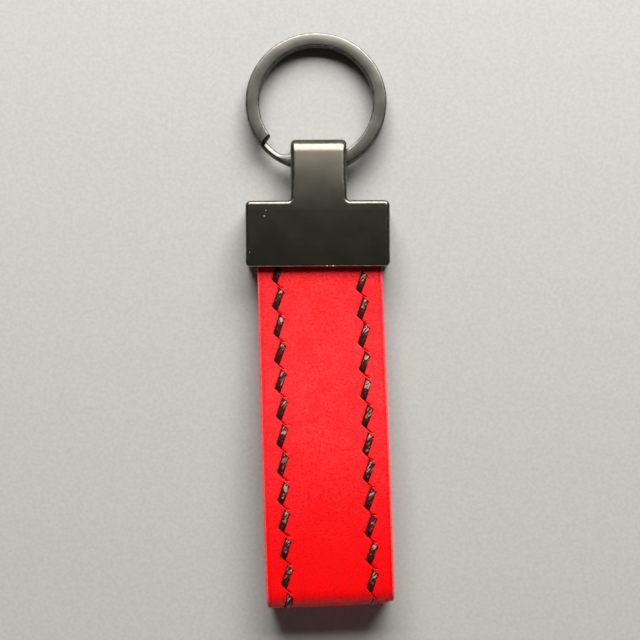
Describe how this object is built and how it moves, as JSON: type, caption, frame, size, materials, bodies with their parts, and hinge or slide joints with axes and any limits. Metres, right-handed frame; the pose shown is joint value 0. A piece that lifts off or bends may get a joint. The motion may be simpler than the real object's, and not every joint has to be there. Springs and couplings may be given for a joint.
{
  "type": "leather strap key fob",
  "caption": "Key fob: a stitched leather strap folded into a loop, clamped in a T-shaped metal clasp with a swinging split ring.",
  "frame": {"origin": "middle of the footprint, on the surface that the fob lies on", "axes": "+Y from the strap's fold towards the split ring, +Z out of the clasp's face, +X across the strap"},
  "size_m": [0.0282, 0.1136, 0.0096],
  "materials": {
    "clasp_metal": "gunmetal plating on die-cast zinc, satin, worn at the edges",
    "screw_steel": "blackened steel",
    "ring_steel": "gunmetal plated spring steel, satin",
    "strap_leather": "smooth finished grain leather with painted edges",
    "lining_leather": "matt lining leather",
    "thread": "waxed twisted thread"
  },
  "bodies": {
    "clasp": {"clasp_shell": "clasp_metal", "clamp_plate": "clasp_metal", "plate_screw_left": "screw_steel", "plate_screw_right": "screw_steel"},
    "ring": {"split_ring": "ring_steel"},
    "strap": {"strap_outer": "strap_leather", "strap_lining": "lining_leather", "left_top_thread": "thread", "left_bobbin_thread": "thread", "right_top_thread": "thread", "right_bobbin_thread": "thread"}
  },
  "joints": [
    {"name": "ring_swing", "type": "hinge", "parent": "clasp", "child": "ring", "pos_m": [0, 0.03091, 0.0036], "axis": [1, 0, 0], "range_deg": [-130, 138]},
    {"name": "strap_bend", "type": "hinge", "parent": "clasp", "child": "strap", "pos_m": [0, 0.01021, 0.00385], "axis": [1, 0, 0], "range_deg": [-60, 60], "stiffness_Nm_per_rad": 0.08, "deforming": ["strap_outer", "strap_lining", "left_top_thread", "left_bobbin_thread", "right_top_thread", "right_bobbin_thread"]}
  ]
}
